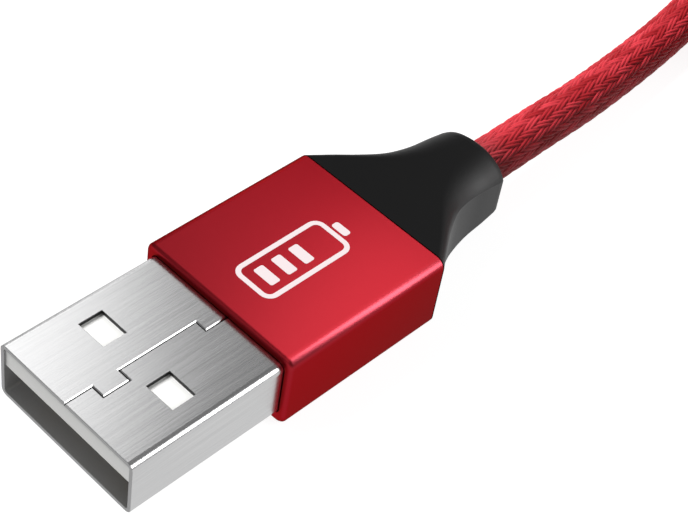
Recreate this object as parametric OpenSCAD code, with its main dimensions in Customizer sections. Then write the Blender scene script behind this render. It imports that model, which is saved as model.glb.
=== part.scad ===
// Charging cable for phones and tablets: a rectangular plug in a metal sleeve, a braided cord that is
// put away in a tied hank, and a small oval plug with spring latches on its far end.
// Millimetres. The rectangular plug lies along Y with its mouth towards -Y, and the table is Z = 0.
// The origin is the centre of that plug's footprint.

/* [Rectangular plug] */
// Width of the steel shell over its outside
shell_w = 12; // [11.9:0.05:12.1]
// Height of the steel shell over its outside
shell_h = 4.5; // [4.4:0.05:4.6]
// Length of shell that stands out of the sleeve
shell_out = 11.75; // [11.75:0.25:13]
// Thickness of the shell's sheet steel
shell_t = 0.3; // [0.28:0.01:0.32]
// Thickness of the plastic tongue that carries the contacts
tongue_t = 1.84; // [1.7:0.02:1.9]
// Width of each contact blade
blade_w = 1; // [0.8:0.05:1.2]

/* [Sleeve and strain relief] */
// Width of the metal sleeve
sleeve_w = 13.2; // [13.1:0.05:14]
// Height of the metal sleeve
sleeve_h = 5.9; // [5.8:0.05:6.5]
// Length of the metal sleeve
sleeve_l = 13.7; // [13.6:0.1:16]
// Length of strain relief behind the sleeve
relief_l = 10.7; // [9:0.1:14]
// Width of the strain relief's nose
nose_w = 6.1; // [5.6:0.1:7]

/* [Cord] */
// Diameter over the braid
cord_d = 3.4; // [3.3:0.05:3.4]
// Diameter of the plastic jacket under the braid
jacket_d = 2.8; // [2.7:0.05:2.8]
// Diameter of each insulated wire
wire_d = 0.9; // [0.8:0.05:0.9]

/* [Hank] */
// Radius of the tightest fold, at the middle of the cord
fold_r = 10.2; // [10:0.1:10.6]
// Distance between the middles of cords that lie side by side
turn_pitch = 3.45; // [3.45:0.01:3.5]
// Half the distance between the centres of the hank's two round ends
hank_half = 31; // [30.5:0.1:31.5]
// Width of the strap that ties the hank
strap_w = 8; // [6:0.5:10]
// Thickness of the strap
strap_t = 0.9; // [0.7:0.05:0.9]

/* [Oval plug] */
// Width of the oval shell
oval_w = 8.25; // [8.2:0.01:8.3]
// Height of the oval shell
oval_h = 2.4; // [2.38:0.01:2.42]
// Length of oval shell that stands out of its sleeve
oval_out = 6.65; // [6.5:0.05:6.7]
// Width of the small sleeve
small_w = 10.8; // [10.6:0.1:11]
// Height of the small sleeve
small_h = 5.2; // [5:0.1:5.4]
// Length of the small sleeve
small_l = 13; // [12.8:0.1:15]
// Length of the small strain relief
small_relief_l = 7.5; // [7:0.1:9]

/* [Hidden] */
$fn = 48;

// Colours
red_metal = [0.68, 0.11, 0.16];
black_rubber = [0.10, 0.10, 0.11];
steel = [0.75, 0.76, 0.77];
gold = [0.86, 0.68, 0.32];
white_plastic = [0.88, 0.88, 0.86];
red_braid = [0.75, 0.09, 0.14];
grey_jacket = [0.30, 0.30, 0.32];
tin = [0.72, 0.73, 0.75];
copper = [0.76, 0.45, 0.28];
wire_colours = [[0.75, 0.08, 0.08], [0.9, 0.9, 0.9], [0.1, 0.5, 0.2], [0.06, 0.06, 0.07]];

// Rectangular plug, measured from its mouth
plug_l = shell_out + sleeve_l + relief_l;
mouth_y = -plug_l / 2;
axis_z = sleeve_h / 2;
shell_r = 0.5;                  // outside radius of the shell's bends
tube_l = shell_out + 4.5;       // shell tube, up to where the sleeve hides its end
tube_gap = 0.05;                // air between the shell and what slides over it
inside_top = shell_h / 2 - shell_t;
tongue_top = inside_top - 0.02;
tongue_low = tongue_top - tongue_t;
tongue_nose = 1.5;              // height of the tongue's front face, above its lead-in
tongue_front = 0.12;
tongue_back = 15;
cavity_l = 9.2;                 // depth of the space that takes a socket's tongue
window_w = 2.3;
window_l = 1.8;
window_x = 3.1;                 // centre of each latch window
window_y = 5.35;
seam_gap = 0.06;
// Where the folded sheet's two edges meet on the top: [side step, from, to], from the mouth
seam_steps = [[0, 0, 2.05], [1, 2.05, 4.05], [0, 4.05, 10.1], [0.9, 10.1, tube_l]];
blade_t = 0.3;
blade_x = [-3.5, -1, 1, 3.5];   // power, data minus, data plus, ground
blade_front = [1.2, 2.2, 2.2, 1.2];
blade_back = 17.3;
strand_r = 0.25;                // bare conductor of each wire
solder_film = 0.03;             // solder between a conductor and its blade
strand_y = [15.4, 17.4];
strand_z = tongue_low + blade_t + solder_film + strand_r;
wire_bend_y = 18;
jacket_y = 21.3;
wire_in_jacket = 0.62;          // how far each wire lies from the cord's centre, each way
barrel_y = 22.2;
barrel_l = 2;
barrel_t = 0.28;
cover_y = tube_l + tube_gap;
cover_end = 24.5;
relief_y = shell_out + sleeve_l;
// Strain relief sections: [distance behind the sleeve, width, height, corner radius]
relief_sections = [[0, sleeve_w, sleeve_h, 0.6], [1.5, sleeve_w - 2.1, sleeve_h, 0.8],
    [3, sleeve_w - 4.2, sleeve_h, 1.1], [4.6, sleeve_w - 6.1, sleeve_h, 1.5],
    [5.8, nose_w + 0.35, sleeve_h, 1.9], [7.2, nose_w, sleeve_h, 2.2],
    [relief_l - 0.3, nose_w - 0.1, sleeve_h - 0.1, 2.3],
    [relief_l, nose_w - 0.7, sleeve_h - 0.7, 2.1]];

// Hank, measured from the point half way along it. Its runs bend in to a waist, where the strap is.
fold_outer = fold_r + turn_pitch;
hank_edge = fold_outer + cord_d / 2;
hank_x = 8;
hank_start = 49.7;              // the hank's nearest point to the rectangular plug
hank_y = hank_start + hank_edge + hank_half;
layers = 3;
hank_h = layers * turn_pitch;
waist_flat = strap_w / 2;
waist_inner = turn_pitch / 2;   // from the hank's middle to the innermost cords, at the waist
waist_reach = hank_half - waist_flat;
waist_turn = 2 * atan((fold_r - waist_inner) / waist_reach);
waist_r = waist_reach / (2 * sin(waist_turn));

// Oval plug, measured from the back of its strain relief towards its mouth
oval_x = hank_x;
oval_y = 121;
oval_axis_z = hank_h + small_h / 2;
oval_t = 0.25;
small_front = small_relief_l + small_l;
oval_tip = small_front + oval_out;
oval_back = 13.5;
row_pitch = 0.5;
row_count = 12;
spring_w = 0.25;
spring_t = 0.15;
spring_z = 0.475;               // middle of each contact row, above or below the plug's axis
spring_y = [oval_tip - 6.95, oval_tip - 1.35];
latch_x = 3.15;
latch_t = 0.2;
latch_y = [oval_tip - 7.15, oval_tip - 1.6];
insulator_back = 14;
pocket_y = oval_tip - 7.65;     // back of the space that takes a socket's tongue
card_t = 0.76;
card_w = 6;
card_y = [9.5, 16.4];
small_wire_x = [-2.4, -0.85, 0.85, 2.4];
small_jacket_y = 6.4;
small_relief_sections = [[0, 4.9, 4.6, 1.6], [0.3, 5.3, 4.9, 1.8], [2.6, 5.6, 5.1, 1.8],
    [4, 6.6, small_h, 1.4], [5.6, 8.8, small_h, 0.9],
    [small_relief_l, small_w, small_h, 0.6]];

// Cord routes, as the middle of the cord, in the frame of the whole part
lead_route = [[0, plug_l / 2, axis_z], [0, 21, axis_z], [-0.15, 25.5, 2.8], [-0.4, 30.5, 2.4],
    [-0.8, 35, 2.05], [-1.3, 40, 1.8], [-1.9, 45, 1.72], [-2.7, 50, 1.72], [-3.6, 54.5, 1.72],
    [-4.2, 57, 1.72]];
tail_route = [[8, 100.5, 9.6], [8, 104, 10], [8, 108, 10.8], [8, 112, 11.8], [8, 115.5, 12.6],
    [8, 118.5, oval_axis_z], [8, oval_y, oval_axis_z]];

// ---- shapes ----

// A rectangle with round corners, centred
module round_rect(w, h, r) {
    square([w - 2 * r, h], center = true);
    square([w, h - 2 * r], center = true);
    for (x = [-1, 1], y = [-1, 1]) translate([x * (w / 2 - r), y * (h / 2 - r)]) circle(r);
}

// An oval with straight top and bottom and round sides, centred
module oval(w, h) {
    square([w - h, h], center = true);
    for (x = [-1, 1]) translate([x * (w - h) / 2, 0]) circle(h / 2);
}

// Stretches an outline drawn in X and Z along Y, from one place to another
module along_y(from, to) translate([0, to, 0]) rotate([90, 0, 0]) linear_extrude(to - from) children();

// Stretches an outline drawn in Y and Z along X, centred
module across_x(w) rotate([90, 0, 90]) linear_extrude(w, center = true) children();

// A box from one corner to the opposite one
module block(low, high) translate(low) cube(high - low);

// A round rod from one point to another
module rod(from, to, r) {
    d = to - from;
    flat = sqrt(d[0] * d[0] + d[1] * d[1]);
    translate(from) rotate([0, atan2(flat, d[2]), atan2(d[1], d[0])]) cylinder(norm(d), r, r);
}

// The points of a rounded rectangle's outline, for a loft
function corner_ring(y, w, h, r, steps = 6) = [for (c = [0:3], k = [0:steps - 1])
    let (a = 90 * c + 90 * k / (steps - 1), sx = (c == 0 || c == 3) ? 1 : -1, sz = c < 2 ? 1 : -1)
    [sx * (w / 2 - r) + r * cos(a), y, sz * (h / 2 - r) + r * sin(a)]];

// Joins rings of equal numbers of points into one closed skin
module skin(rings) {
    n = len(rings[0]);
    m = len(rings);
    polyhedron([for (ring = rings) each ring], concat(
        [[for (i = [n - 1:-1:0]) i]],
        [for (j = [0:m - 2], i = [0:n - 1]) let (k = (i + 1) % n)
            each [[j * n + i, j * n + k, (j + 1) * n + k], [j * n + i, (j + 1) * n + k, (j + 1) * n + i]]],
        [[for (i = [0:n - 1]) (m - 1) * n + i]]));
}

// A round tube along a route that runs mostly along the table
function unit(v) = v / norm(v);
function heading(route, i) = unit(route[min(i + 1, len(route) - 1)] - route[max(i - 1, 0)]);
function tube_ring(centre, dir, r, sides) = let (side = unit(cross(dir, [0, 0, 1])), up = cross(side, dir))
    [for (k = [0:sides - 1]) centre + r * (cos(360 * k / sides) * side + sin(360 * k / sides) * up)];
module tube(route, r, sides = 8)
    skin([for (i = [0:len(route) - 1]) tube_ring(route[i], heading(route, i), r, sides)]);

// ---- rectangular plug: everything is drawn on its axis, measured from its mouth ----

module host() translate([0, mouth_y, axis_z]) children();

module seam() for (s = seam_steps, i = [0]) {
    block([s[0] - seam_gap / 2, s[1] - seam_gap, inside_top - 0.1],
          [s[0] + seam_gap / 2, s[2], shell_h / 2 + 0.1]);
    if (s[1] > 0)
        block([-seam_gap / 2, s[1] - seam_gap, inside_top - 0.1],
              [1 - (s[1] > 8 ? 0.1 : 0) + seam_gap / 2, s[1], shell_h / 2 + 0.1]);
}

module host_shell() color(steel) host() {
    difference() {
        along_y(0, tube_l) difference() {
            round_rect(shell_w, shell_h, shell_r);
            round_rect(shell_w - 2 * shell_t, shell_h - 2 * shell_t, shell_r - shell_t);
        }
        for (x = [-1, 1]) translate([x * window_x, window_y, 0])
            cube([window_w, window_l, 2 * shell_h], center = true);
        seam();
    }
    block([-2, tube_l - shell_t, -shell_h / 2], [2, barrel_y, -shell_h / 2 + shell_t]);
    block([-1, barrel_y - 0.4, -shell_h / 2], [1, barrel_y, -jacket_d / 2 - barrel_t / 2]);
    along_y(barrel_y - 0.4, barrel_y + barrel_l) difference() {
        circle(jacket_d / 2 + barrel_t);
        circle(jacket_d / 2 + 0.02);
        translate([-0.2, 0]) square([0.4, jacket_d]);
    }
}

module blade(i) block([blade_x[i] - blade_w / 2, blade_front[i], tongue_low],
                      [blade_x[i] + blade_w / 2, blade_back, tongue_low + blade_t]);

module host_tongue() color(white_plastic) host() difference() {
    intersection() {
        across_x(shell_w) polygon([
            [tongue_front, tongue_top], [tongue_front, tongue_top - tongue_nose],
            [tongue_front + 0.8, tongue_low], [cavity_l, tongue_low], [cavity_l, -tongue_top],
            [tongue_back, -tongue_top], [tongue_back, tongue_top]]);
        along_y(0, plug_l) round_rect(shell_w - 2 * shell_t - 0.04, 2 * tongue_top, 0.25);
    }
    for (i = [0:3]) blade(i);
}

module host_contact(i) color(gold) host() blade(i);

module strand(i, from, to, r) rod([blade_x[i], from, strand_z], [blade_x[i], to, strand_z], r);

module host_conductor_ends() color(copper) host()
    for (i = [0:3]) strand(i, strand_y[0], strand_y[1], strand_r);

module host_solder_joints() color(tin) host() for (i = [0:3]) difference() {
    translate([blade_x[i], (strand_y[0] + strand_y[1]) / 2 - 0.1, strand_z]) sphere(0.62);
    block([blade_x[i] - 1, 0, -2], [blade_x[i] + 1, 30, tongue_low + blade_t]);
    strand(i, 0, 30, strand_r);
}

// Where a wire enters the jacket: the outer pair lies above the inner pair
function in_jacket(x, y) = let (inner = abs(x) < 2, side = x > 0 ? 1 : -1)
    [side * wire_in_jacket * (inner ? 0.85 : 1), y, wire_in_jacket * (inner ? -1 : 1)];

// Each wire runs straight off its blade and then slants in to the jacket's end
module host_wire(i) color(wire_colours[i]) host() tube([
    [blade_x[i], strand_y[1], strand_z], [blade_x[i], wire_bend_y, strand_z],
    in_jacket(blade_x[i], jacket_y - 0.35)], wire_d / 2, 12);

// Half of the snap-on cover round the joints: side is 1 for the top half and -1 for the bottom half
module host_cover(side) color(white_plastic) host() difference() {
    intersection() {
        along_y(cover_y, cover_end - 0.05) round_rect(shell_w, shell_h, shell_r);
        block([-shell_w, 0, side > 0 ? 0.01 : -shell_h], [shell_w, plug_l, side > 0 ? shell_h : -0.01]);
    }
    block([-4.6, 0, -1.3], [4.6, jacket_y + 0.3, 1.5]);
    block([-2.1, 0, -shell_h], [2.1, barrel_y + 0.05, 0]);
    along_y(0, plug_l) circle(jacket_d / 2 + barrel_t + 0.04);
}

module host_cord_jacket() color(grey_jacket) host() along_y(jacket_y, plug_l) circle(jacket_d / 2);

module host_braid_end() color(red_braid) host() along_y(cover_end, plug_l) difference() {
    circle(cord_d / 2);
    circle(jacket_d / 2);
}

module host_sleeve() color(red_metal) host() along_y(shell_out, relief_y) difference() {
    round_rect(sleeve_w, sleeve_h, 0.7);
    round_rect(shell_w + 2 * tube_gap, shell_h + 2 * tube_gap, shell_r);
}

module host_strain_relief() color(black_rubber) host() difference() {
    union() {
        skin([for (s = relief_sections) corner_ring(relief_y + s[0], s[1], s[2], s[3])]);
        along_y(cover_end, relief_y + 0.01) round_rect(shell_w, shell_h, shell_r);
    }
    along_y(0, plug_l + 1) circle(cord_d / 2);
}

// ---- cord and hank ----

module cord_lead() color(red_braid) tube(lead_route, cord_d / 2);

module cord_tail() color(red_braid) tube(tail_route, cord_d / 2);

// How far from the hank's middle a run is that lies o outside the innermost one, y along the hank
function run_x(o, y) = let (s = max(0, abs(y) - waist_flat))
    s < (waist_r - o) * sin(waist_turn) ? waist_inner + waist_r - sqrt(pow(waist_r - o, 2) - s * s)
    : fold_r - waist_r + sqrt(pow(waist_r + o, 2) - pow(waist_reach - s, 2));

bundle_w = run_x(turn_pitch + cord_d / 2, 0);    // half the width of the tied bundle
run_side = [for (k = [-8:8]) let (y = hank_half * k / 8) [run_x(turn_pitch + cord_d / 2, y), y]];

module hank_outline() {
    for (y = [-hank_half, hank_half]) translate([0, y]) circle(hank_edge);
    polygon(concat(run_side, [for (i = [16:-1:0]) [-run_side[i][0], run_side[i][1]]]));
}

module cord_hank() color(red_braid) translate([hank_x, hank_y, 0]) difference() {
    linear_extrude(hank_h) hank_outline();
    strap_solid(0.1);
    for (x = [-1, 1]) translate([x * (bundle_w + 5.3), 0, 0])
        cube([10, strap_w + 0.2, 3 * hank_h], center = true);
}

// The strap's outline round the tied bundle, and the space under it that the bundle leaves free
module strap_path(extra) {
    w = bundle_w + 0.35 + extra;
    h = hank_h + 0.15 + 2 * extra;
    translate([0, h / 2 - extra]) round_rect(2 * w, h, 1.2 + extra);
}

module strap_solid(gap) along_y(-strap_w / 2 - gap, strap_w / 2 + gap)
    translate([0, strap_t]) difference() {
        strap_path(strap_t);
        strap_path(0);
    }

module hank_strap() color(black_rubber) translate([hank_x, hank_y, 0]) strap_solid(0);

// ---- oval plug: everything is drawn on its axis, measured from the back of its strain relief ----

module phone() translate([oval_x, oval_y, oval_axis_z]) children();

module phone_shell() color(steel) phone() along_y(oval_back, oval_tip) difference() {
    oval(oval_w, oval_h);
    oval(oval_w - 2 * oval_t, oval_h - 2 * oval_t);
}

module phone_insulator() color(black_rubber) phone() difference() {
    along_y(insulator_back, oval_tip - 0.25) oval(oval_w - 2 * oval_t - 0.04, oval_h - 2 * oval_t - 0.04);
    block([-3.62, pocket_y, -0.78], [3.62, oval_tip + 1, 0.78]);
    block([-3.05, 0, -0.6], [3.05, oval_tip, 0.6]);
}

// One row of contact springs: side is 1 for the upper row and -1 for the lower one
module spring_row(side, from, to) for (i = [0:row_count - 1])
    translate([(i - (row_count - 1) / 2) * row_pitch, 0, side * spring_z])
        block([-spring_w / 2, from, -spring_t / 2], [spring_w / 2, to, spring_t / 2]);

module phone_contacts(side) color(gold) phone() spring_row(side, spring_y[0], spring_y[1]);

module phone_contact_tails() color(gold) phone()
    for (side = [-1, 1]) spring_row(side, card_y[1] - 1.4, spring_y[0] - 0.15);

// A latch arm that springs outwards: side is 1 towards +X of the plug's own frame
module phone_latch(side) color(steel) phone() mirror([side > 0 ? 0 : 1, 0, 0]) {
    translate([latch_x, latch_y[0], 0]) cylinder(0.7, 0.18, 0.18, center = true);
    block([latch_x - latch_t / 2, latch_y[0], -0.35], [latch_x + latch_t / 2, latch_y[1], 0.35]);
    translate([latch_x - latch_t / 2, latch_y[1] - 0.5, 0])
        cylinder(0.7, 0.12, 0.12, center = true);
}

module phone_paddle_card() color([0.1, 0.35, 0.2]) phone()
    block([-card_w / 2, card_y[0], -card_t / 2], [card_w / 2, card_y[1], card_t / 2]);

module phone_resistor() color([0.15, 0.15, 0.15]) phone()
    block([-0.8, 12.6, -card_t / 2 - 0.45], [0.8, 13.4, -card_t / 2]);

module phone_solder_joints() color(tin) phone() for (x = small_wire_x) difference() {
    translate([x, 11.2, card_t / 2 + strand_r]) sphere(0.5);
    block([x - 1, 0, -2], [x + 1, 30, card_t / 2]);
}

module phone_wire(i) color(wire_colours[i]) phone() tube([
    in_jacket(small_wire_x[i], small_jacket_y + 0.35),
    [small_wire_x[i], 9.6, card_t / 2 + wire_d / 2],
    [small_wire_x[i], 10.6, card_t / 2 + wire_d / 2]], wire_d / 2, 12);

module phone_inner_mould() color(white_plastic) phone() difference() {
    along_y(small_relief_l + 1.05, oval_back - 0.05) round_rect(9.5, 3.9, 0.5);
    block([-3.6, 0, -1.1], [3.6, oval_tip, 1.5]);
}

module phone_cord_jacket() color(grey_jacket) phone() along_y(0, small_jacket_y) circle(jacket_d / 2);

module phone_braid_end() color(red_braid) phone() along_y(0, 5) difference() {
    circle(cord_d / 2);
    circle(jacket_d / 2);
}

module phone_sleeve() color(red_metal) phone() difference() {
    along_y(small_relief_l, small_front) round_rect(small_w, small_h, 0.7);
    along_y(0, small_front - 1) round_rect(9.6, 4, 0.5);
    along_y(0, oval_tip) oval(oval_w + 0.1, oval_h + 0.1);
}

module phone_strain_relief() color(black_rubber) phone() difference() {
    union() {
        skin([for (s = small_relief_sections) corner_ring(s[0], s[1], s[2], s[3])]);
        along_y(small_relief_l - 0.01, small_relief_l + 1) round_rect(9.5, 3.9, 0.5);
    }
    along_y(-1, 6.45) circle(cord_d / 2);
    block([-3.6, 6.4, -1.1], [3.6, 20, 1.5]);
}

// ---- nodes ----

host_shell();
host_tongue();
host_contact(0);  // host_contact_power
host_contact(1);  // host_contact_data_minus
host_contact(2);  // host_contact_data_plus
host_contact(3);  // host_contact_ground
host_conductor_ends();
host_solder_joints();
host_wire(0);  // host_wire_power
host_wire(1);  // host_wire_data_minus
host_wire(2);  // host_wire_data_plus
host_wire(3);  // host_wire_ground
host_cover(1);  // host_cover_top
host_cover(-1);  // host_cover_bottom
host_cord_jacket();
host_braid_end();
host_sleeve();
host_strain_relief();
cord_lead();
cord_hank();
cord_tail();
hank_strap();
phone_shell();
phone_insulator();
phone_contacts(1);  // phone_contacts_upper
phone_contacts(-1);  // phone_contacts_lower
phone_contact_tails();
phone_latch(-1);  // phone_latch_left
phone_latch(1);  // phone_latch_right
phone_paddle_card();
phone_resistor();
phone_solder_joints();
phone_wire(0);  // phone_wire_power
phone_wire(1);  // phone_wire_data_minus
phone_wire(2);  // phone_wire_data_plus
phone_wire(3);  // phone_wire_ground
phone_inner_mould();
phone_cord_jacket();
phone_braid_end();
phone_sleeve();
phone_strain_relief();
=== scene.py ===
"""A phone charging cable: a rectangular steel plug in a red metal sleeve, a braided cord that is put
away in a strapped hank, and a small oval plug on its far end. Lengths are millimetres times mm."""

import math

import bmesh
import bpy
import numpy as np
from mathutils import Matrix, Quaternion, Vector


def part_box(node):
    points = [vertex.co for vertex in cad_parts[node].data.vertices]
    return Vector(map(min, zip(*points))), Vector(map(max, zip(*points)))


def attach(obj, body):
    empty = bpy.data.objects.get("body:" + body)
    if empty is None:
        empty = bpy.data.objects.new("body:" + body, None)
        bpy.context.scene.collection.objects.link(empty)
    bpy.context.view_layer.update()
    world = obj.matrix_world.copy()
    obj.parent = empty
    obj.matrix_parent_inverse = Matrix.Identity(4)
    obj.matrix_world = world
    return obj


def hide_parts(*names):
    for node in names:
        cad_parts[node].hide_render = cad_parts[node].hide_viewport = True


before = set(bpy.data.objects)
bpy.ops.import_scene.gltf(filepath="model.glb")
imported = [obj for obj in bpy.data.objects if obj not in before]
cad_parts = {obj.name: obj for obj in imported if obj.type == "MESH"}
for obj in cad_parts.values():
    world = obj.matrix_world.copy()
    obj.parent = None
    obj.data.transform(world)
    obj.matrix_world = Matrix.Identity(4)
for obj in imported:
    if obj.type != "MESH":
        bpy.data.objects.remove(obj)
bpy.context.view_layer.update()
mm = 0.001

# ---- Camera ----
# A long lens looks down at the plug from its front right corner, and leans a little to one side.
eye = Vector((48.1, -57.5, 81.4)) * mm
target = Vector((-1.2, 7.0, 0.0)) * mm
lean = math.radians(10.3)
camera = bpy.data.objects.new("camera", bpy.data.cameras.new("camera"))
camera.data.lens = 88.3
camera.data.clip_start = 5 * mm
camera.location = eye
camera.rotation_mode = "QUATERNION"
camera.rotation_quaternion = (target - eye).to_track_quat("-Z", "Y") @ Quaternion((0, 0, 1), lean)
bpy.context.scene.collection.objects.link(camera)
bpy.context.scene.camera = camera

# ---- Braided cord ----
# Nylon yarns are plaited two over and two under round a soft jacket. The cord leaves the strain relief,
# drops to the table and is folded into a hank with a narrow waist, and its end lies on the hank.
cord_d = 3.4 * mm
table_z = 1.72                  # the middle of a cord that lies on the table
lead_route = [(0, 18.075, 2.95), (0, 21, 2.95), (-0.15, 25.5, 2.8), (-0.4, 30.5, 2.4), (-0.8, 35, 2.05),
              (-1.3, 40, 1.8), (-1.9, 45, table_z), (-2.7, 50, table_z), (-3.6, 54.5, table_z),
              (-4.2, 57, table_z), (-5.1, 61, table_z)]
waist_route = [(6.3, 90.5, 9.5), (7.2, 95.5, 9.55)]
tail_route = [(8, 100.5, 9.6), (8, 104, 10), (8, 108, 10.8), (8, 112, 11.8), (8, 115.5, 12.6),
              (8, 118.5, 12.95), (8, 121, 12.95)]
fold_r = 10.2                   # of the tightest fold, at the middle of the cord
turn_pitch = 3.45               # between cords that lie side by side
strap_w, strap_t = 8, 0.9
hank_low, hank_high = (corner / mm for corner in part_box("cord_hank"))
hank_mid = (hank_low + hank_high) / 2
hank_half = (hank_high.y - hank_low.y) / 2 - (hank_high.x - hank_low.x) / 2
waist_flat = strap_w / 2
waist_inner = turn_pitch / 2
waist_reach = hank_half - waist_flat
waist_turn = 2 * math.atan((fold_r - waist_inner) / waist_reach)
waist_r = waist_reach / (2 * math.sin(waist_turn))
# The place of each turn in the hank, from the first: columns out from the innermost, and layers up.
hank_slots = [(1, 0), (0, 0), (0, 1), (1, 1), (1, 2), (0, 2)]
shift_len, shift_lag = 0.43, 0.115      # of the near fold, as shares of it


def smooth(t):
    t = np.clip(t, 0, 1)
    return t * t * (3 - 2 * t)


def run_x(outward, y):
    """How far from the hank's middle line a run is, at y along the hank."""
    s = np.maximum(0, np.abs(y) - waist_flat)
    near = waist_inner + waist_r - np.sqrt(np.maximum((waist_r - outward) ** 2 - s * s, 0))
    far = fold_r - waist_r + np.sqrt(np.maximum((waist_r + outward) ** 2 - (waist_reach - s) ** 2, 0))
    return np.where(s < (waist_r - outward) * math.sin(waist_turn), near, far)


def hank_turn(number):
    """One turn: up the left run, round the far fold, down the right run and round the near fold."""
    (column, layer), (next_column, next_layer) = hank_slots[number], hank_slots[number + 1]
    outward, z = column * turn_pitch, table_z + layer * turn_pitch
    y = np.linspace(-hank_half, hank_half, 80)
    left = np.stack([-run_x(outward, y), y, np.full(80, z)], 1)
    a = np.linspace(math.pi, 0, 50)[1:-1]
    r = fold_r + outward
    far = np.stack([r * np.cos(a), hank_half + r * np.sin(a), np.full(48, z)], 1)
    right = left[::-1] * (-1, 1, 1)
    share = np.linspace(0, 1, 50)[1:-1]
    moved = smooth((share - shift_lag * (len(hank_slots) - 2 - number)) / shift_len)
    r = r + moved * (next_column - column) * turn_pitch
    near = np.stack([r * np.cos(share * math.pi), -hank_half - r * np.sin(share * math.pi),
                     z + moved * (next_layer - layer) * turn_pitch], 1)
    return np.concatenate([left, far, right, near])


def over_strap(points):
    """Lifts the runs over the strap, which passes under the hank's waist."""
    rise = 1 - smooth((np.abs(points[:, 1]) - waist_flat - 0.5) / 12)
    return points + np.outer(rise * strap_t, (0, 0, 1))


def spline(points, steps=16):
    """A smooth curve through the points."""
    p = np.array([points[0], *points, points[-1]], float)
    t = np.linspace(0, 1, steps, endpoint=False)[:, None]
    spans = [0.5 * (2 * b + (c - a) * t + (2 * a - 5 * b + 4 * c - d) * t**2 + (3 * b - a - 3 * c + d) * t**3)
             for a, b, c, d in zip(p, p[1:], p[2:], p[3:])]
    return np.concatenate([*spans, p[-1:]])


def length_along(points):
    return np.concatenate([[0], np.cumsum(np.linalg.norm(np.diff(points, axis=0), axis=1))])


def at_lengths(points, lengths):
    along = length_along(points)
    return np.stack([np.interp(lengths, along, points[:, k]) for k in range(3)], 1)


def cord_line():
    """The middle of the cord from end to end, in millimetres, with a point every quarter of one."""
    turns = np.concatenate([hank_turn(k) for k in range(len(hank_slots) - 1)])
    y = np.linspace(-hank_half, -10, 40)
    last = np.stack([-run_x(0, y), y, np.full(40, table_z + 2 * turn_pitch)], 1)
    wound = over_strap(np.concatenate([turns, last])) + (hank_mid.x, hank_mid.y, 0)
    lead = spline([*lead_route, wound[0]])[:-1]
    tail = spline([wound[-1], *waist_route, *tail_route])[1:]
    line = np.concatenate([lead, wound, tail])
    line = line[np.concatenate([[True], np.linalg.norm(np.diff(line, axis=0), axis=1) > 0.01])]
    for _ in range(2):
        line = at_lengths(line, np.arange(0, length_along(line)[-1], 0.25))
        ends = line[:1], line[-1:]
        padded = np.concatenate([np.repeat(ends[0], 4, 0), line, np.repeat(ends[1], 4, 0)])
        weights = np.exp(-(np.arange(-4, 5) / 2.5) ** 2)
        line = sum(w * padded[k:k + len(line)] for k, w in enumerate(weights / weights.sum()))
        line[0], line[-1] = ends[0][0], ends[1][0]
    return np.concatenate([line, [tail_route[-1]]])


def carried_frames(points):
    """Two directions across the line at each point, carried along it without twisting."""
    along = np.gradient(points, axis=0)
    along /= np.linalg.norm(along, axis=1)[:, None]
    side = np.zeros_like(points)
    side[0] = np.cross(along[0], (0, 0, 1))
    for k in range(1, len(points)):
        side[k] = side[k - 1] - along[k] * (side[k - 1] @ along[k])
        side[k] /= np.linalg.norm(side[k])
    return side, np.cross(side, along)


yarns = 20                      # that run each way round
float_len = 1.8                 # of yarn on top between two dives
yarn_swell, yarn_dive = 0.12, 0.07
end_round = 0.93                # each yarn is two ends side by side, this round across
skin_depth = 0.03               # of the smooth stretch, under the cord's full radius


def braid_height(turn, along):
    """How far the yarns stand out from their lowest place: turn goes once round, along is millimetres."""
    p, q = yarns * turn - along / float_len, yarns * turn + along / float_len
    i, j = np.round(p), np.round(q)
    swell = [yarn_swell * np.sqrt(1 - (end_round * (4 * np.abs(x - k) - 1)) ** 2)
             for x, k in ((p, i), (q, j))]
    dive = [yarn_dive * np.cos(math.pi / 2 * (x - 0.5)) for x in (q + i, p + j)]
    return np.maximum(swell[0] + dive[0], swell[1] - dive[1])


def skin_faces(rings, sides, first=0):
    """Four-sided faces between rings of points, and one face over each end."""
    k = np.arange(sides)
    a = first + np.arange(rings - 1)[:, None] * sides
    quads = np.stack([a + k, a + (k + 1) % sides, a + sides + (k + 1) % sides, a + sides + k], -1)
    last = first + (rings - 1) * sides
    ends = [list(range(first + sides - 1, first - 1, -1)), list(range(last, last + sides))]
    return quads.reshape(-1, 4).tolist() + ends


def braided_tube(centres, side, up, along, sides, plaited):
    """The points of a stretch of cord, placed by their share of the way round and their length along it."""
    turn = np.arange(sides) / sides
    t, s = np.broadcast_arrays(turn[None, :], along[:, None])
    r = cord_d / 2 / mm - skin_depth
    if plaited:
        r = r + skin_depth - yarn_swell - yarn_dive + braid_height(t, s)
    a = 2 * math.pi * t[..., None]
    out = np.cos(a) * side[:, None] + np.sin(a) * up[:, None]
    return (centres[:, None] + np.asarray(r)[..., None] * out).reshape(-1, 3)


def new_piece(name, points, faces):
    """A smooth mesh through the points, which are in millimetres, riding on the cable's body."""
    mesh = bpy.data.meshes.new(name)
    mesh.from_pydata((np.asarray(points) * mm).tolist(), [], faces)
    mesh.shade_smooth()
    piece = bpy.data.objects.new(name, mesh)
    bpy.context.scene.collection.objects.link(piece)
    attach(piece, "cable")
    return piece


def face_outwards(mesh):
    b = bmesh.new()
    b.from_mesh(mesh)
    bmesh.ops.recalc_face_normals(b, faces=b.faces)
    b.to_mesh(mesh)
    b.free()


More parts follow.
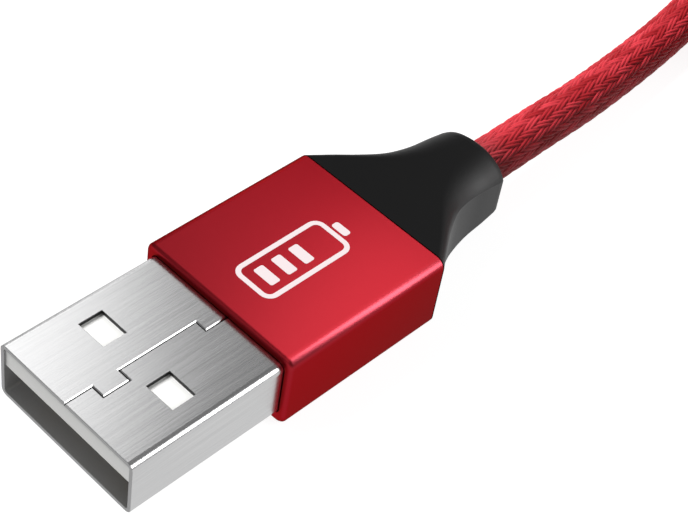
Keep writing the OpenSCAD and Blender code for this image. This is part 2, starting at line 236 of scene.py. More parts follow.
line = cord_line()
whole = length_along(line)[-1]
plaited_to = 30.0               # the stretch whose yarns are modelled one by one
fine_step, coarse_step, frame_step = 0.15, 0.8, 0.1
fine_at = np.append(np.arange(0, plaited_to, fine_step), plaited_to)
coarse_at = np.append(np.arange(plaited_to, whole - coarse_step / 2, coarse_step), whole)
centres = at_lengths(line, np.concatenate([fine_at, coarse_at]))
side, up = carried_frames(at_lengths(line, np.arange(0, whole, frame_step)))
pick = np.minimum((np.concatenate([fine_at, coarse_at]) / frame_step).astype(int), len(side) - 1)
side, up = side[pick], up[pick]
cut = len(fine_at)
fine_sides, coarse_sides = 240, 24
points = np.concatenate([
    braided_tube(centres[:cut], side[:cut], up[:cut], fine_at, fine_sides, True),
    braided_tube(centres[cut:], side[cut:], up[cut:], coarse_at, coarse_sides, False)])
faces = (skin_faces(cut, fine_sides)
         + skin_faces(len(coarse_at), coarse_sides, cut * fine_sides))
cord = new_piece("braided_cord", points, faces)

# Each corner of each face keeps its share of the way round and its distance along, for the weave.
weave = cord.data.uv_layers.new(name="weave")
corner_points = np.empty(len(cord.data.loops), int)
cord.data.loops.foreach_get("vertex_index", corner_points)
in_fine = corner_points < cut * fine_sides
rest = corner_points - cut * fine_sides
turn = np.where(in_fine, corner_points % fine_sides / fine_sides, rest % coarse_sides / coarse_sides)
along = np.where(in_fine, fine_at[np.minimum(corner_points // fine_sides, cut - 1)],
                 coarse_at[np.maximum(rest, 0) // coarse_sides])
starts = np.empty(len(cord.data.polygons), int)
cord.data.polygons.foreach_get("loop_start", starts)
sizes = np.empty(len(cord.data.polygons), int)
cord.data.polygons.foreach_get("loop_total", sizes)
for corner in (1, 2):           # the last face of each ring ends a whole turn on
    k = starts[sizes == 4] + corner
    turn[k] += turn[k] == 0
weave.data.foreach_set("uv", np.stack([turn, along], 1).ravel())
plain = cord.data.attributes.new("plain", "FLOAT", "POINT")
plain.data.foreach_set("value", (np.arange(len(points)) >= cut * fine_sides).astype(np.float32))


def linear(hex_colour):
    """An sRGB hex colour as a linear one."""
    parts = [int(hex_colour[k:k + 2], 16) / 255 for k in (1, 3, 5)]
    return (*[c / 12.92 if c < 0.04045 else ((c + 0.055) / 1.055) ** 2.4 for c in parts], 1)


def add(tree, kind, inputs=None, **settings):
    """Adds a node with its settings. Each input is a number, a colour or another node's output."""
    node = tree.nodes.new(kind)
    for name, value in settings.items():
        setattr(node, name, value)
    for name, value in (inputs or {}).items():
        if isinstance(value, bpy.types.NodeSocket):
            tree.links.new(value, node.inputs[name])
        else:
            node.inputs[name].default_value = value
    return node


def new_material(name):
    """A material, its node tree and its shader."""
    material = bpy.data.materials.new(name)
    material.use_nodes = True
    tree = material.node_tree
    return material, tree, tree.nodes["Principled BSDF"]


def shade(tree, dark, light, share):
    """A colour between two hex colours, by a share from 0 to 1."""
    ramp = add(tree, "ShaderNodeMix", {"Factor": share, "A": linear(dark), "B": linear(light)},
               data_type="RGBA")
    return ramp.outputs["Result"]


def braided_nylon():
    """Dyed nylon yarn: satin sheen along the filaments, and painted shade, a near black red, where the yarns
    dive.
    """
    material, tree, shader = new_material("braided_nylon")

    def calc(operation, *values):
        return add(tree, "ShaderNodeMath", dict(enumerate(values)), operation=operation).outputs[0]

    place = add(tree, "ShaderNodeUVMap", uv_map="weave").outputs[0]
    place = add(tree, "ShaderNodeSeparateXYZ", {0: place})
    across = calc("MULTIPLY", place.outputs["X"], yarns)
    long_way = place.outputs["Y"]
    along = calc("DIVIDE", long_way, float_len)
    p, q = calc("SUBTRACT", across, along), calc("ADD", across, along)
    heights, floats = [], []
    for mine, other, sign in ((p, q, 1), (q, p, -1)):
        nearest = calc("ROUND", mine)
        offset = calc("MULTIPLY", calc("ABSOLUTE", calc("SUBTRACT", mine, nearest)), 4)
        rounded = calc("POWER", calc("MULTIPLY", calc("SUBTRACT", offset, 1), end_round), 2)
        swell = calc("MULTIPLY", calc("SQRT", calc("SUBTRACT", 1, rounded)), yarn_swell)
        place = calc("ADD", other, nearest)
        dive = calc("COSINE", calc("MULTIPLY", calc("SUBTRACT", place, 0.5), math.pi / 2))
        heights.append(calc("ADD", swell, calc("MULTIPLY", dive, sign * yarn_dive)))
        step = calc("FLOOR", calc("DIVIDE", calc("ADD", place, 0.5), 2))
        wrapped = [calc("FLOORED_MODULO", x, yarns) for x in (nearest, step)]
        cell = add(tree, "ShaderNodeCombineXYZ", {0: wrapped[0], 1: wrapped[1], 2: sign})
        floats.append(add(tree, "ShaderNodeTexWhiteNoise", {"Vector": cell.outputs[0]}).outputs["Value"])
    top = calc("MAXIMUM", *heights)
    first_on_top = calc("GREATER_THAN", heights[0], heights[1])
    caught = add(tree, "ShaderNodeMix", {"Factor": first_on_top, "A": floats[1], "B": floats[0]}).outputs[0]
    # Painted shade: the lower a yarn lies, the nearer its colour goes to a near black red.
    raised = calc("DIVIDE", top, yarn_swell + yarn_dive)
    share = add(tree, "ShaderNodeMapRange", {"Value": raised, "From Min": 0.1, "From Max": 0.85},
                interpolation_type="SMOOTHSTEP").outputs[0]
    fibres = add(tree, "ShaderNodeTexNoise", {"Scale": 4000.0, "Detail": 3.0}).outputs["Fac"]
    uneven = calc("ADD", calc("MULTIPLY", caught, 0.75), calc("MULTIPLY", fibres, 0.25))
    crest = shade(tree, "#AA151D", "#F44854", uneven)
    colour = add(tree, "ShaderNodeMix", {"Factor": share, "A": linear("#560308"), "B": crest},
                 data_type="RGBA")
    # Over the first few millimetres behind the strain relief the colour turns darker and a little grey.
    greyed_near_relief = add(tree, "ShaderNodeMapRange",
                 {"Value": long_way, "From Min": 3.5, "From Max": 0.3, "To Max": 0.45},
                 interpolation_type="SMOOTHSTEP").outputs[0]
    colour = add(tree, "ShaderNodeMix",
                 {"Factor": greyed_near_relief, "A": colour.outputs["Result"], "B": linear("#6A4042")},
                 data_type="RGBA")
    tree.links.new(colour.outputs["Result"], shader.inputs["Base Color"])
    loose = add(tree, "ShaderNodeAttribute", attribute_name="plain").outputs["Fac"]
    height = calc("ADD", calc("MULTIPLY", calc("MULTIPLY", top, loose), mm),
                  calc("MULTIPLY", fibres, 0.02 * mm))
    bump = add(tree, "ShaderNodeBump", {"Height": height, "Distance": 1.0, "Strength": 0.8})
    tree.links.new(bump.outputs[0], shader.inputs["Normal"])
    shader.inputs["Roughness"].default_value = 0.45
    shader.inputs["Specular IOR Level"].default_value = 0.25
    shader.inputs["Sheen Weight"].default_value = 0.1
    shader.inputs["Sheen Roughness"].default_value = 0.4
    shader.inputs["Sheen Tint"].default_value = linear("#FF3844")
    return material


cord.data.materials.append(braided_nylon())
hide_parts("cord_lead", "cord_hank", "cord_tail")

# ---- Steel shells ----
# Each plug's shell is nickel-plated sheet steel. The rectangular one is folded round, and its two edges
# meet in a stepped seam on the top. The oval one is drawn, and has no seam.
def softened(node, name, width, seam_width):
    """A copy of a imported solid: a seam in its top is bevelled flat, and its other sharp edges are rounded."""
    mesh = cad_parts[node].data.copy()
    mesh.materials.clear()
    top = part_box(node)[1].z
    b = bmesh.new()
    b.from_mesh(mesh)
    bmesh.ops.remove_doubles(b, verts=b.verts, dist=0.001 * mm)
    bmesh.ops.dissolve_limit(b, angle_limit=math.radians(1), verts=b.verts, edges=b.edges)
    if seam_width:
        seam = [edge for edge in b.edges if edge.calc_face_angle(0) > math.radians(60)
                and all(abs(vert.co.x) < 1.2 * mm and vert.co.z > top - 0.01 * mm for vert in edge.verts)]
        bmesh.ops.bevel(b, geom=seam, offset=seam_width * mm, segments=1, affect="EDGES")
    sharp = [edge for edge in b.edges if edge.calc_face_angle(0) > math.radians(60)]
    bmesh.ops.bevel(b, geom=sharp, offset=width * mm, segments=2, profile=0.5, affect="EDGES",
                    clamp_overlap=True)
    b.normal_update()
    for edge in b.edges:
        flats = {max(map(abs, face.normal)) > 0.9999 for face in edge.link_faces}
        lengthwise = {abs(face.normal.y) < 0.1 for face in edge.link_faces}
        edge.smooth = edge.calc_face_angle(0) < math.radians(32) and len(flats) == len(lengthwise) == 1
    bmesh.ops.triangulate(b, faces=[face for face in b.faces if len(face.verts) > 4])
    for face in b.faces:
        face.smooth = True
    b.to_mesh(mesh)
    b.free()
    piece = bpy.data.objects.new(name, mesh)
    bpy.context.scene.collection.objects.link(piece)
    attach(piece, "cable")
    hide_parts(node)
    return piece


def streaks(tree, across, along):
    """Noise drawn out lengthwise: its grain is across by along, in millimetres."""
    place = add(tree, "ShaderNodeTexCoord").outputs["Object"]
    scale = (1 / (across * mm), 1 / (along * mm), 1 / (across * mm))
    grain = add(tree, "ShaderNodeMapping", {"Vector": place, "Scale": scale}).outputs[0]
    return add(tree, "ShaderNodeTexNoise", {"Vector": grain, "Scale": 1.0, "Detail": 4.0}).outputs[0]


def nickel_plated_steel():
    """Nickel over sheet steel that was brushed lengthwise: a neutral grey mirror, blurred by fine lines."""
    material, tree, shader = new_material("nickel_plated_steel")
    lines = streaks(tree, 0.12, 8)      # real ones are nearer 0.03 mm, too fine to show here
    tree.links.new(shade(tree, "#C6C6C7", "#E6E6E6", lines), shader.inputs["Base Color"])
    shader.inputs["Metallic"].default_value = 1
    rough = add(tree, "ShaderNodeMapRange", {"Value": lines, "To Min": 0.19, "To Max": 0.27})
    tree.links.new(rough.outputs[0], shader.inputs["Roughness"])
    bump = add(tree, "ShaderNodeBump", {"Height": lines, "Distance": 0.004 * mm, "Strength": 0.35})
    tree.links.new(bump.outputs[0], shader.inputs["Normal"])
    return material


def shaded_inner_steel():
    """The inside of the sheet: the same steel painted a little darker, as shade inside the shell, and dull, so
    it reflects no outlines.
    """
    material, tree, shader = new_material("shaded_inner_steel")
    cloud = add(tree, "ShaderNodeTexNoise", {"Scale": 700.0, "Detail": 5.0}).outputs[0]
    tree.links.new(shade(tree, "#B0B0B1", "#D0D0D0", cloud), shader.inputs["Base Color"])
    shader.inputs["Metallic"].default_value = 0.5
    shader.inputs["Roughness"].default_value = 0.5
    return material


def shaded_cut_steel():
    """Where the sheet was punched: torn grain across its thickness, painted near black as the shade on these
    narrow walls.
    """
    material, tree, shader = new_material("shaded_cut_steel")
    tear = add(tree, "ShaderNodeTexNoise", {"Scale": 5000.0, "Detail": 3.0}).outputs[0]
    tree.links.new(shade(tree, "#2C2C2D", "#4C4C4C", tear), shader.inputs["Base Color"])
    shader.inputs["Metallic"].default_value = 1
    shader.inputs["Roughness"].default_value = 0.55
    return material


steel, inner_steel, cut_steel = nickel_plated_steel(), shaded_inner_steel(), shaded_cut_steel()
for node, name, edge_r, seam_bevel in (("host_shell", "computer_shell", 0.03, 0.065),
                                       ("phone_shell", "phone_shell_case", 0.06, 0)):
    shell = softened(node, name, edge_r, seam_bevel)
    low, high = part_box(node)
    middle = (low + high) / 2
    for material in (steel, inner_steel, cut_steel):
        shell.data.materials.append(material)
    if node == "host_shell":
        middle.z = high.z - 2.25 * mm       # its cord clamp, at the back, isn't part of its height
    reach = high.x - middle.x
    for face in shell.data.polygons:
        way = face.normal
        out = Vector((face.center.x - middle.x, 0, face.center.z - middle.z))
        cut_through = abs(way.x) > 0.9 and abs(out.x) < reach - 0.6 * mm
        at_mouth = abs(way.y) > 0.9 and min(face.center.y - low.y, high.y - face.center.y) < 0.05 * mm
        # Painted shade: faces that face along the plug, and the walls of the seam and windows cut through the
        # top, get the near black cut steel.
        if (abs(way.y) > 0.9 or cut_through) and not at_mouth:
            face.material_index = 2
        # Painted shade: faces that face into the shell, and those at the mouth, get the darker inner steel.
        elif out.dot(way) < 0 or at_mouth:
            face.material_index = 1

# ---- Sleeves ----
# Each plug's body is a sleeve of drawn aluminium tube, bead blasted, anodised red and glued on. Its ends
# are chamfered by a tumbler.
def round_ring(y, width, height, radius, middle, steps=9):
    """The points of a rounded rectangle's outline across the plug's length, counted from the +X side."""
    a = np.radians([90 * c + 90 * k / (steps - 1) for c in range(4) for k in range(steps)])
    sx = np.repeat([1, -1, -1, 1], steps)
    sz = np.repeat([1, 1, -1, -1], steps)
    x = middle[0] + sx * (width / 2 - radius) + radius * np.cos(a)
    z = middle[1] + sz * (height / 2 - radius) + radius * np.sin(a)
    return np.stack([x, np.full(len(a), y), z], 1)


def loft(name, rings, closed=False, sharp=32):
    """A skin over rings of equal numbers of points. A closed one joins its last ring to its first."""
    sides = len(rings[0])
    faces = skin_faces(len(rings), sides)
    if closed:
        k = np.arange(sides)
        last = (len(rings) - 1) * sides
        faces = faces[:-2] + np.stack([last + k, last + (k + 1) % sides, (k + 1) % sides, k], 1).tolist()
    piece = new_piece(name, np.concatenate(rings), faces)
    face_outwards(piece.data)
    piece.data.set_sharp_from_angle(angle=math.radians(sharp))
    return piece


def tube_sleeve(name, front, back, size, radius, hole, hole_radius, middle):
    """A sleeve from its front end, at the mouth's side, to its back end."""
    way = 1 if back > front else -1
    rings = []
    for end, side, bevel in ((front, way, 0.28), (back, -way, 0.12)):
        outside = [(end + side * bevel * (1 - math.sin(t)), bevel * (1 - math.cos(t)))
                   for t in np.radians((0, 22, 45, 68, 90))]
        outside = [round_ring(y, size[0] - 2 * inset, size[1] - 2 * inset, radius - inset * 0.5, middle)
                   for y, inset in outside]
        lip = 0.08
        inside = [round_ring(y, hole[0] + 2 * grow, hole[1] + 2 * grow, hole_radius + grow, middle)
                  for y, grow in ((end, lip), (end + side * lip * 0.4, lip * 0.3), (end + side * lip, 0))]
        rings.append(outside + inside)
    return loft(name, [*rings[0], *rings[1][::-1]], closed=True)


def anodised_aluminium():
    """Blasted, then dyed through its oxide: a satin metal, redder and darker than paint, under a thin
    clear skin."""
    material, tree, shader = new_material("anodised_aluminium")
    blast = add(tree, "ShaderNodeTexNoise", {"Scale": 9000.0, "Detail": 2.0}).outputs[0]
    cloud = add(tree, "ShaderNodeTexNoise", {"Scale": 220.0, "Detail": 3.0}).outputs[0]
    tree.links.new(shade(tree, "#A8222C", "#AE2630", cloud), shader.inputs["Base Color"])
    shader.inputs["Metallic"].default_value = 1
    shader.inputs["Roughness"].default_value = 0.36
    shader.inputs["Specular Tint"].default_value = linear("#A03C44")
    shader.inputs["Coat Weight"].default_value = 0.06
    shader.inputs["Coat Roughness"].default_value = 0.2
    bump = add(tree, "ShaderNodeBump", {"Height": blast, "Distance": 0.002 * mm, "Strength": 0.3})
    tree.links.new(bump.outputs[0], shader.inputs["Normal"])
    return material


red_metal = anodised_aluminium()
for node, name, hole, hole_radius, way in (("host_sleeve", "computer_sleeve", (12.1, 4.6), 0.55, 1),
                                           ("phone_sleeve", "phone_sleeve_tube", (8.35, 2.5), 1.2, -1)):
    low, high = (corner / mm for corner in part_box(node))
    front, back = (low.y, high.y) if way > 0 else (high.y, low.y)
    sleeve = tube_sleeve(name, front, back, (high.x - low.x, high.z - low.z), 0.7, hole, hole_radius,
                         ((low.x + high.x) / 2, (low.z + high.z) / 2))
    sleeve.data.materials.append(red_metal)
    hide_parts(node)

# ---- Printed mark ----
# A plain battery outline with three charge bars, pad printed in off-white ink on the sleeve's top. The
# ink is a film that stands up a little, and its underside is sunk into the sleeve so that no gap shows.
def flat_ring(width, length, radius, centre):
    """The points of a rounded rectangle that lies flat."""
    return round_ring(0, width, length, radius, centre, 7)[:, (0, 2, 1)]


print_x, print_y, print_z = 0.3, -0.15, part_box("host_sleeve")[1].z / mm
ink_t, ink_sunk, line_w = 0.012, 0.02, 0.36
points, faces = [], []
outline = [(3.5, 7.6, 0.8), (3.5 - 2 * line_w, 7.6 - 2 * line_w, 0.8 - line_w)]
blocks = [(1.3, 0.6, 0.2, (print_x, print_y + 4.3))]
blocks += [(1.7, 0.8, 0.15, (print_x, print_y + y)) for y in (-2.3, -0.8, 0.7)]
for width, length, radius, centre in blocks:
    ring = flat_ring(width, length, radius, centre)
    first = len(points)
    points += [*(ring + (0, 0, print_z - ink_sunk)), *(ring + (0, 0, print_z + ink_t))]
    faces += [[first + i for i in face] for face in skin_faces(2, len(ring))]
outer, inner = (flat_ring(*size, (print_x, print_y)) for size in outline)
first, sides = len(points), len(outer)
for ring, z in ((outer, -ink_sunk), (outer, ink_t), (inner, ink_t), (inner, -ink_sunk)):
    points += [*(ring + (0, 0, print_z + z))]
k = np.arange(sides)
after = (k + 1) % sides
for here, there in ((0, 1), (1, 2), (2, 3), (3, 0)):
    here, there = here * sides, there * sides
    faces += (first + np.stack([here + k, here + after, there + after, there + k], 1)).tolist()
mark = new_piece("charge_mark", points, faces)
mark.data.set_sharp_from_angle(angle=math.radians(30))
ink, tree, shader = new_material("printed_ink")
film = add(tree, "ShaderNodeTexNoise", {"Scale": 3000.0, "Detail": 4.0}).outputs[0]
tree.links.new(shade(tree, "#D8C8CA", "#E6DADB", film), shader.inputs["Base Color"])
shader.inputs["Roughness"].default_value = 0.5
mark.data.materials.append(ink)

# ---- Strain reliefs ----
# Black thermoplastic rubber, moulded over the joint. It starts as the sleeve's rectangle and narrows to a
# nose round the cord, and the edge that runs back from each of the sleeve's corners fades out on the way.
# Each section: distance behind the sleeve, width, height, how far its corners reach in and down, and the
# angle at which a corner's curve meets the side, which is 0 where it is tangent to it.
relief_sections = [
    (0, 13.2, 5.9, 0.72, 0.72, 0), (1.5, 11.0, 5.9, 0.8, 0.6, 8), (3, 9.0, 5.9, 1.1, 0.8, 14),
    (4.6, 7.3, 5.9, 1.7, 1.1, 20), (5.8, 6.6, 5.9, 2.1, 1.4, 22), (7.2, 6.2, 5.9, 2.5, 1.7, 22),
    (8.8, 6.1, 5.85, 2.8, 1.9, 20), (10.1, 6.0, 5.75, 2.9, 2.1, 18), (10.7, 5.0, 4.75, 2.45, 2.0, 16)]
small_relief_sections = [
    (0, 10.8, 5.2, 0.75, 0.75, 0), (1.9, 8.8, 5.2, 0.9, 0.7, 12), (3.5, 6.6, 5.2, 1.4, 1, 22),
    (4.9, 5.6, 5.1, 1.9, 1.3, 28), (7.2, 5.3, 4.9, 2.2, 1.5, 28), (7.5, 4.9, 4.6, 2.1, 1.4, 28)]


def relief_ring(y, width, height, reach_in, reach_down, crease, middle, steps=14):
    """A rounded rectangle whose corners are parts of ellipses and may meet the sides in a crease."""
    t = np.linspace(math.radians(crease), math.pi / 2, steps)
    start = math.cos(t[0])
    x = width / 2 - reach_in * (1 - (np.cos(t) + 1 - start))
    z = height / 2 - reach_down * (1 - np.sin(t))
    x, z = np.concatenate([x, -x[::-1]]), np.concatenate([z, z[::-1]])
    x, z = np.concatenate([x, x[::-1]]), np.concatenate([z, -z[::-1]])
    return np.stack([middle[0] + x, np.full(len(x), y), middle[1] + z], 1)


def relief(name, sections, start, way, middle):
    """A strain relief's skin, from the sleeve to a rolled lip round the cord."""
    body = np.array(sections[:-1], float)
    body = np.concatenate([spline(body[:, :3], 6), spline(body[:, 3:], 6)], 1)
    nose, tip = np.array(sections[-2], float), np.array(sections[-1], float)
    lip = [np.append(nose[0] + (tip[0] - nose[0]) * math.sin(t),
                     nose[1:] + (tip[1:] - nose[1:]) * (1 - math.cos(t)))
           for t in np.radians((30, 60, 90))]
    bore = cord_d / mm
    hole = [(tip[0], bore + 0.3, bore + 0.3, bore / 2 + 0.149, bore / 2 + 0.149, 0),
            (tip[0] - 0.25, bore + 0.04, bore + 0.04, bore / 2 + 0.019, bore / 2 + 0.019, 0)]
    rings = [relief_ring(start + way * d, *rest, middle) for d, *rest in (*body, *lip, *hole)]
    return loft(name, rings, sharp=14)


def moulded_rubber():
    """Black thermoplastic rubber with a spark-eroded mould's fine texture: matt, with a broad weak sheen."""
    material, tree, shader = new_material("moulded_rubber")
    grain = add(tree, "ShaderNodeTexNoise", {"Scale": 6000.0, "Detail": 3.0}).outputs[0]
    tree.links.new(shade(tree, "#020203", "#060607", grain), shader.inputs["Base Color"])
    shader.inputs["Roughness"].default_value = 0.46
    bump = add(tree, "ShaderNodeBump", {"Height": grain, "Distance": 0.004 * mm, "Strength": 0.4})
    tree.links.new(bump.outputs[0], shader.inputs["Normal"])
    return material


rubber = moulded_rubber()
for node, name, sections, way in (
        ("host_strain_relief", "computer_strain_relief", relief_sections, 1),
        ("phone_strain_relief", "phone_strain_relief_boot", small_relief_sections, -1)):
    low, high = (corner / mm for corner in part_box(node))
    start = high.y - sections[-1][0] if way > 0 else low.y + sections[-1][0]
    boot = relief(name, sections, start, way, ((low.x + high.x) / 2, (low.z + high.z) / 2))
    boot.data.materials.append(rubber)
    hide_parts(node)

# ---- Strap ----
# A strip of hook and loop strap, black, wrapped round the hank's waist and pressed shut over its own end.
strap_low, strap_high = (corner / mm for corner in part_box("hank_strap"))
strap_mid = (strap_low + strap_high) / 2
strap_size = strap_high - strap_low
half_w = strap_w / 2
rings = []
edge = [(-half_w, 0.14), (-half_w + 0.06, 0.04), (-half_w + 0.2, 0), (half_w - 0.2, 0), (half_w - 0.06, 0.04),
        (half_w, 0.14)]
section = [(y, inset) for y, inset in edge] + [(y, strap_t - inset) for y, inset in edge[::-1]]
for y, inset in section:
    rings.append(round_ring(strap_mid.y + y, strap_size.x - 2 * inset, strap_size.z - 2 * inset, 2.1 - inset,
                            (strap_mid.x, strap_mid.z), 12))
band = loft("hank_tie", rings, closed=True, sharp=50)
lap = []                        # the free end, which lies over the band on its top and +X side
for y, rise in ((-half_w + 0.15, 0.0), (-half_w + 0.25, 0.45), (half_w - 0.25, 0.45), (half_w - 0.15, 0.0)):
    ring = round_ring(strap_mid.y + y, strap_size.x + 2 * rise, strap_size.z + 2 * rise, 2.1 + rise,
                      (strap_mid.x, strap_mid.z), 12)
    lap.append(ring[4:16])
lap_points = np.concatenate(lap)
count = len(lap[0])
lap_faces = skin_faces(4, count)[:-2]
lap_faces = [face for face in lap_faces if max(face) - min(face) <= count + 1]
lap_faces += [[0, count, 2 * count, 3 * count], [count - 1, 4 * count - 1, 3 * count - 1, 2 * count - 1]]
flap = new_piece("hank_tie_end", lap_points, lap_faces)
face_outwards(flap.data)
flap.data.set_sharp_from_angle(angle=math.radians(40))


def loop_fabric():
    """Black nylon loop pile on a woven ground: matt and faintly furry, with rows 0.5 mm apart."""
    material, tree, shader = new_material("loop_fabric")
    place = add(tree, "ShaderNodeTexCoord").outputs["Object"]
    loops = add(tree, "ShaderNodeTexVoronoi",
                {"Vector": place, "Scale": 1 / (0.5 * mm), "Randomness": 0.7}).outputs[0]
    fur = add(tree, "ShaderNodeTexNoise", {"Vector": place, "Scale": 7000.0, "Detail": 4.0}).outputs[0]
    tree.links.new(shade(tree, "#101012", "#2C2C30", fur), shader.inputs["Base Color"])
    height = add(tree, "ShaderNodeMath", {0: loops, 1: fur}, operation="ADD").outputs[0]
    bump = add(tree, "ShaderNodeBump", {"Height": height, "Distance": 0.08 * mm, "Strength": 0.7})
    tree.links.new(bump.outputs[0], shader.inputs["Normal"])
    shader.inputs["Roughness"].default_value = 0.85
    shader.inputs["Sheen Weight"].default_value = 0.3
    return material


fabric = loop_fabric()
for piece in (band, flap):
    piece.data.materials.append(fabric)
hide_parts("hank_strap")

# ---- Plastic and metal inside the plugs ----
# What the sleeves hide, and the tongues and contacts that show in the two mouths: moulded plastic, gold-
# plated contacts, tinned joints, and the wires' insulation.
def plain_finish(name, dark, light, roughness, metallic=0.0):
    """A moulded, plated or extruded surface: two near colours clouded together over a fine grain."""
    material, tree, shader = new_material(name)
    cloud = add(tree, "ShaderNodeTexNoise", {"Scale": 400.0, "Detail": 3.0}).outputs[0]
    tree.links.new(shade(tree, dark, light, cloud), shader.inputs["Base Color"])
    shader.inputs["Metallic"].default_value = metallic
    shader.inputs["Roughness"].default_value = roughness
    fine = add(tree, "ShaderNodeTexNoise", {"Scale": 4000.0, "Detail": 2.0}).outputs[0]
    bump = add(tree, "ShaderNodeBump", {"Height": fine, "Distance": 0.003 * mm, "Strength": 0.4})
    tree.links.new(bump.outputs[0], shader.inputs["Normal"])
    return material


white_plastic = plain_finish("moulded_white_plastic", "#E9E9E6", "#F6F6F4", 0.4)
gold = plain_finish("gold_plated_contact", "#D9AE52", "#E8C472", 0.22, 1.0)
copper = plain_finish("bare_copper", "#B9704A", "#CE8A5C", 0.32, 1.0)
solder = plain_finish("bright_solder", "#B4B6B8", "#D0D2D3", 0.18, 1.0)
black_plastic = plain_finish("moulded_black_nylon", "#111112", "#1B1B1D", 0.45)
grey_vinyl = plain_finish("extruded_grey_jacket", "#47474B", "#535357", 0.5)
solder_mask = plain_finish("green_solder_mask", "#12502C", "#1C6A3C", 0.3)
ceramic = plain_finish("resistor_ceramic", "#151516", "#232325", 0.35)
wire_colours = {"power": ("#B01818", "#C42222"), "data_minus": ("#DEDEDC", "#EDEDEB"),
                "data_plus": ("#157A34", "#1E9142"), "ground": ("#121214", "#1E1E20")}
finishes = {"host_tongue": white_plastic, "host_cover_top": white_plastic, "host_cover_bottom": white_plastic,
            "host_conductor_ends": copper, "host_solder_joints": solder, "host_cord_jacket": grey_vinyl,
            "host_braid_end": cord.data.materials[0], "phone_insulator": black_plastic,
            "phone_contacts_upper": gold, "phone_contacts_lower": gold, "phone_contact_tails": gold,
            "phone_latch_left": steel, "phone_latch_right": steel, "phone_paddle_card": solder_mask,
            "phone_resistor": ceramic, "phone_solder_joints": solder, "phone_inner_mould": white_plastic,
            "phone_cord_jacket": grey_vinyl, "phone_braid_end": cord.data.materials[0]}
for wire, (dark, light) in wire_colours.items():
    finishes["host_contact_" + wire] = gold
    insulation = plain_finish("wire_insulation_" + wire, dark, light, 0.3)
    finishes["host_wire_" + wire] = finishes["phone_wire_" + wire] = insulation
for node, material in finishes.items():
    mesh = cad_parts[node].data
    mesh.materials.clear()
    mesh.materials.append(material)

# ---- Stage ----
# A pale floor that glows like a light table, and eleven lamps: a big soft key light high on the left, a
# strip behind on the right, and nine that light only some of the steel shells, red sleeves and strain
# reliefs. Those nine are set for the main view and flatter it, and other views are less well lit.
half = 3000
floor = new_piece("floor", [(-half, -half, 0), (half, -half, 0), (half, half, 0), (-half, half, 0)],
                  [[0, 1, 2, 3]])
floor.parent = None
paper, tree, shader = new_material("light_table")
shader.inputs["Base Color"].default_value = (0.25, 0.25, 0.25, 1)
shader.inputs["Roughness"].default_value = 0.9
shader.inputs["Emission Color"].default_value = (1, 1, 1, 1)
shader.inputs["Emission Strength"].default_value = 0.9
path = add(tree, "ShaderNodeLightPath")
glow = add(tree, "ShaderNodeMapRange", {"Value": path.outputs["Is Glossy Ray"], "To Min": 0.3, "To Max": 0.8})
plain_glow = add(tree, "ShaderNodeEmission", {"Strength": glow.outputs[0]})
table = add(tree, "ShaderNodeMixShader", {0: path.outputs["Is Camera Ray"], 1: plain_glow.outputs[0],
                                         2: shader.outputs[0]})
tree.links.new(table.outputs[0], tree.nodes["Material Output"].inputs["Surface"])
floor.data.materials.append(paper)

world = bpy.data.worlds.new("studio")
world.use_nodes = True
tree = world.node_tree
sky = tree.nodes["Background"]
seen = add(tree, "ShaderNodeLightPath").outputs["Is Camera Ray"]
strength = add(tree, "ShaderNodeMapRange", {"Value": seen, "To Min": 0.2, "To Max": 0.95})
tree.links.new(strength.outputs[0], sky.inputs["Strength"])
sky.inputs["Color"].default_value = (1, 1, 1, 1)
bpy.context.scene.world = world
bpy.context.scene.view_settings.view_transform = "Standard"


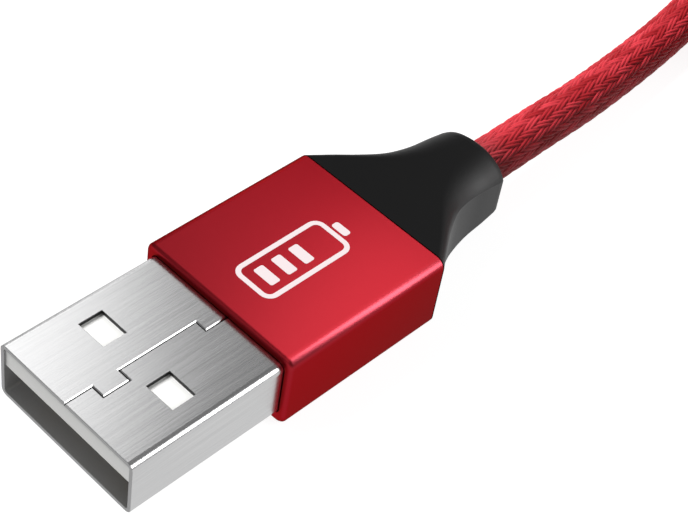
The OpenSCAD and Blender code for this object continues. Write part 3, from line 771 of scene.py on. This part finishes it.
def lamp(name, direction, distance, size, glow, aim=(0, 0, 0), only=(), but=(), shape="ELLIPSE"):
    """A flat lamp that faces its aim. Its glow is how bright its face is, where white paper is 1."""
    light = bpy.data.lights.new(name, "AREA")
    light.shape = shape
    light.size, light.size_y = size[0] * mm, size[1] * mm
    fill = math.pi / 4 if shape == "ELLIPSE" else 1
    light.energy = glow * math.pi * light.size * light.size_y * fill
    stand = bpy.data.objects.new(name, light)
    stand.location = (Vector(aim) + Vector(direction).normalized() * distance) * mm
    stand.rotation_euler = Vector(direction).to_track_quat("Z", "Y").to_euler()
    stand.visible_camera = False
    bpy.context.scene.collection.objects.link(stand)
    if only or but:
        lit = stand.light_linking.receiver_collection = bpy.data.collections.new(name + "_pieces")
        for piece in only or but:
            lit.objects.link(piece)
        for member in lit.collection_objects:
            member.light_linking.link_state = "INCLUDE" if only else "EXCLUDE"
    return stand


shells = [bpy.data.objects["computer_shell"], bpy.data.objects["phone_shell_case"]]
tubes = [bpy.data.objects["computer_sleeve"], bpy.data.objects["phone_sleeve_tube"]]
boots = [bpy.data.objects["computer_strain_relief"], bpy.data.objects["phone_strain_relief_boot"]]
lamp("key_lamp", (-0.56, -0.3, 0.77), 800, (430, 430), 18, but=[*tubes, *shells, *boots])
lamp("strip_lamp", (0.68, 0.56, 0.45), 600, (340, 420), 5, but=[*tubes, cord])
lamp("panel_lamp", (-0.66, 0.22, 0.727), 800, (460, 460), 1.6, only=shells)
lamp("edge_lamp", (-0.75, 0.55, 0.25), 800, (400, 300), 1.2, only=[*shells, *tubes])
lamp("mouth_lamp", (0.1, -0.93, 0.36), 500, (260, 160), 2.5, only=shells)
lamp("over_lamp", (0, 0, 1), 800, (420, 420), 0.7, only=[*shells, *tubes])
lamp("rear_view_lamp", (0, -0.8, 0.6), 800, (700, 400), 1.0, only=tubes)
lamp("crown_lamp", (0.42, 0.54, 0.73), 600, (330, 330), 3.0, only=boots)
lamp("near_lamp", (-4.6, 26, 63), 75, (64, 110), 1.38, aim=(6.6, 2, 6), only=tubes, shape="RECTANGLE")
lamp("sleeve_fill", (-0.45, 0.54, 0.71), 700, (600, 600), 0.5, only=tubes)
glint = lamp("sleeve_strip", (0.55, 0.58, 0.55), 600, (240, 700), 18, only=tubes)
glint.data.color = (0.36, 1, 0.95)

replaced = ("phone_shell", "phone_sleeve", "phone_strain_relief")
on_cord = [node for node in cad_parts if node.startswith("phone_") and node not in replaced]
on_cord += ["phone_shell_case", "phone_sleeve_tube", "phone_strain_relief_boot", "hank_tie", "hank_tie_end"]
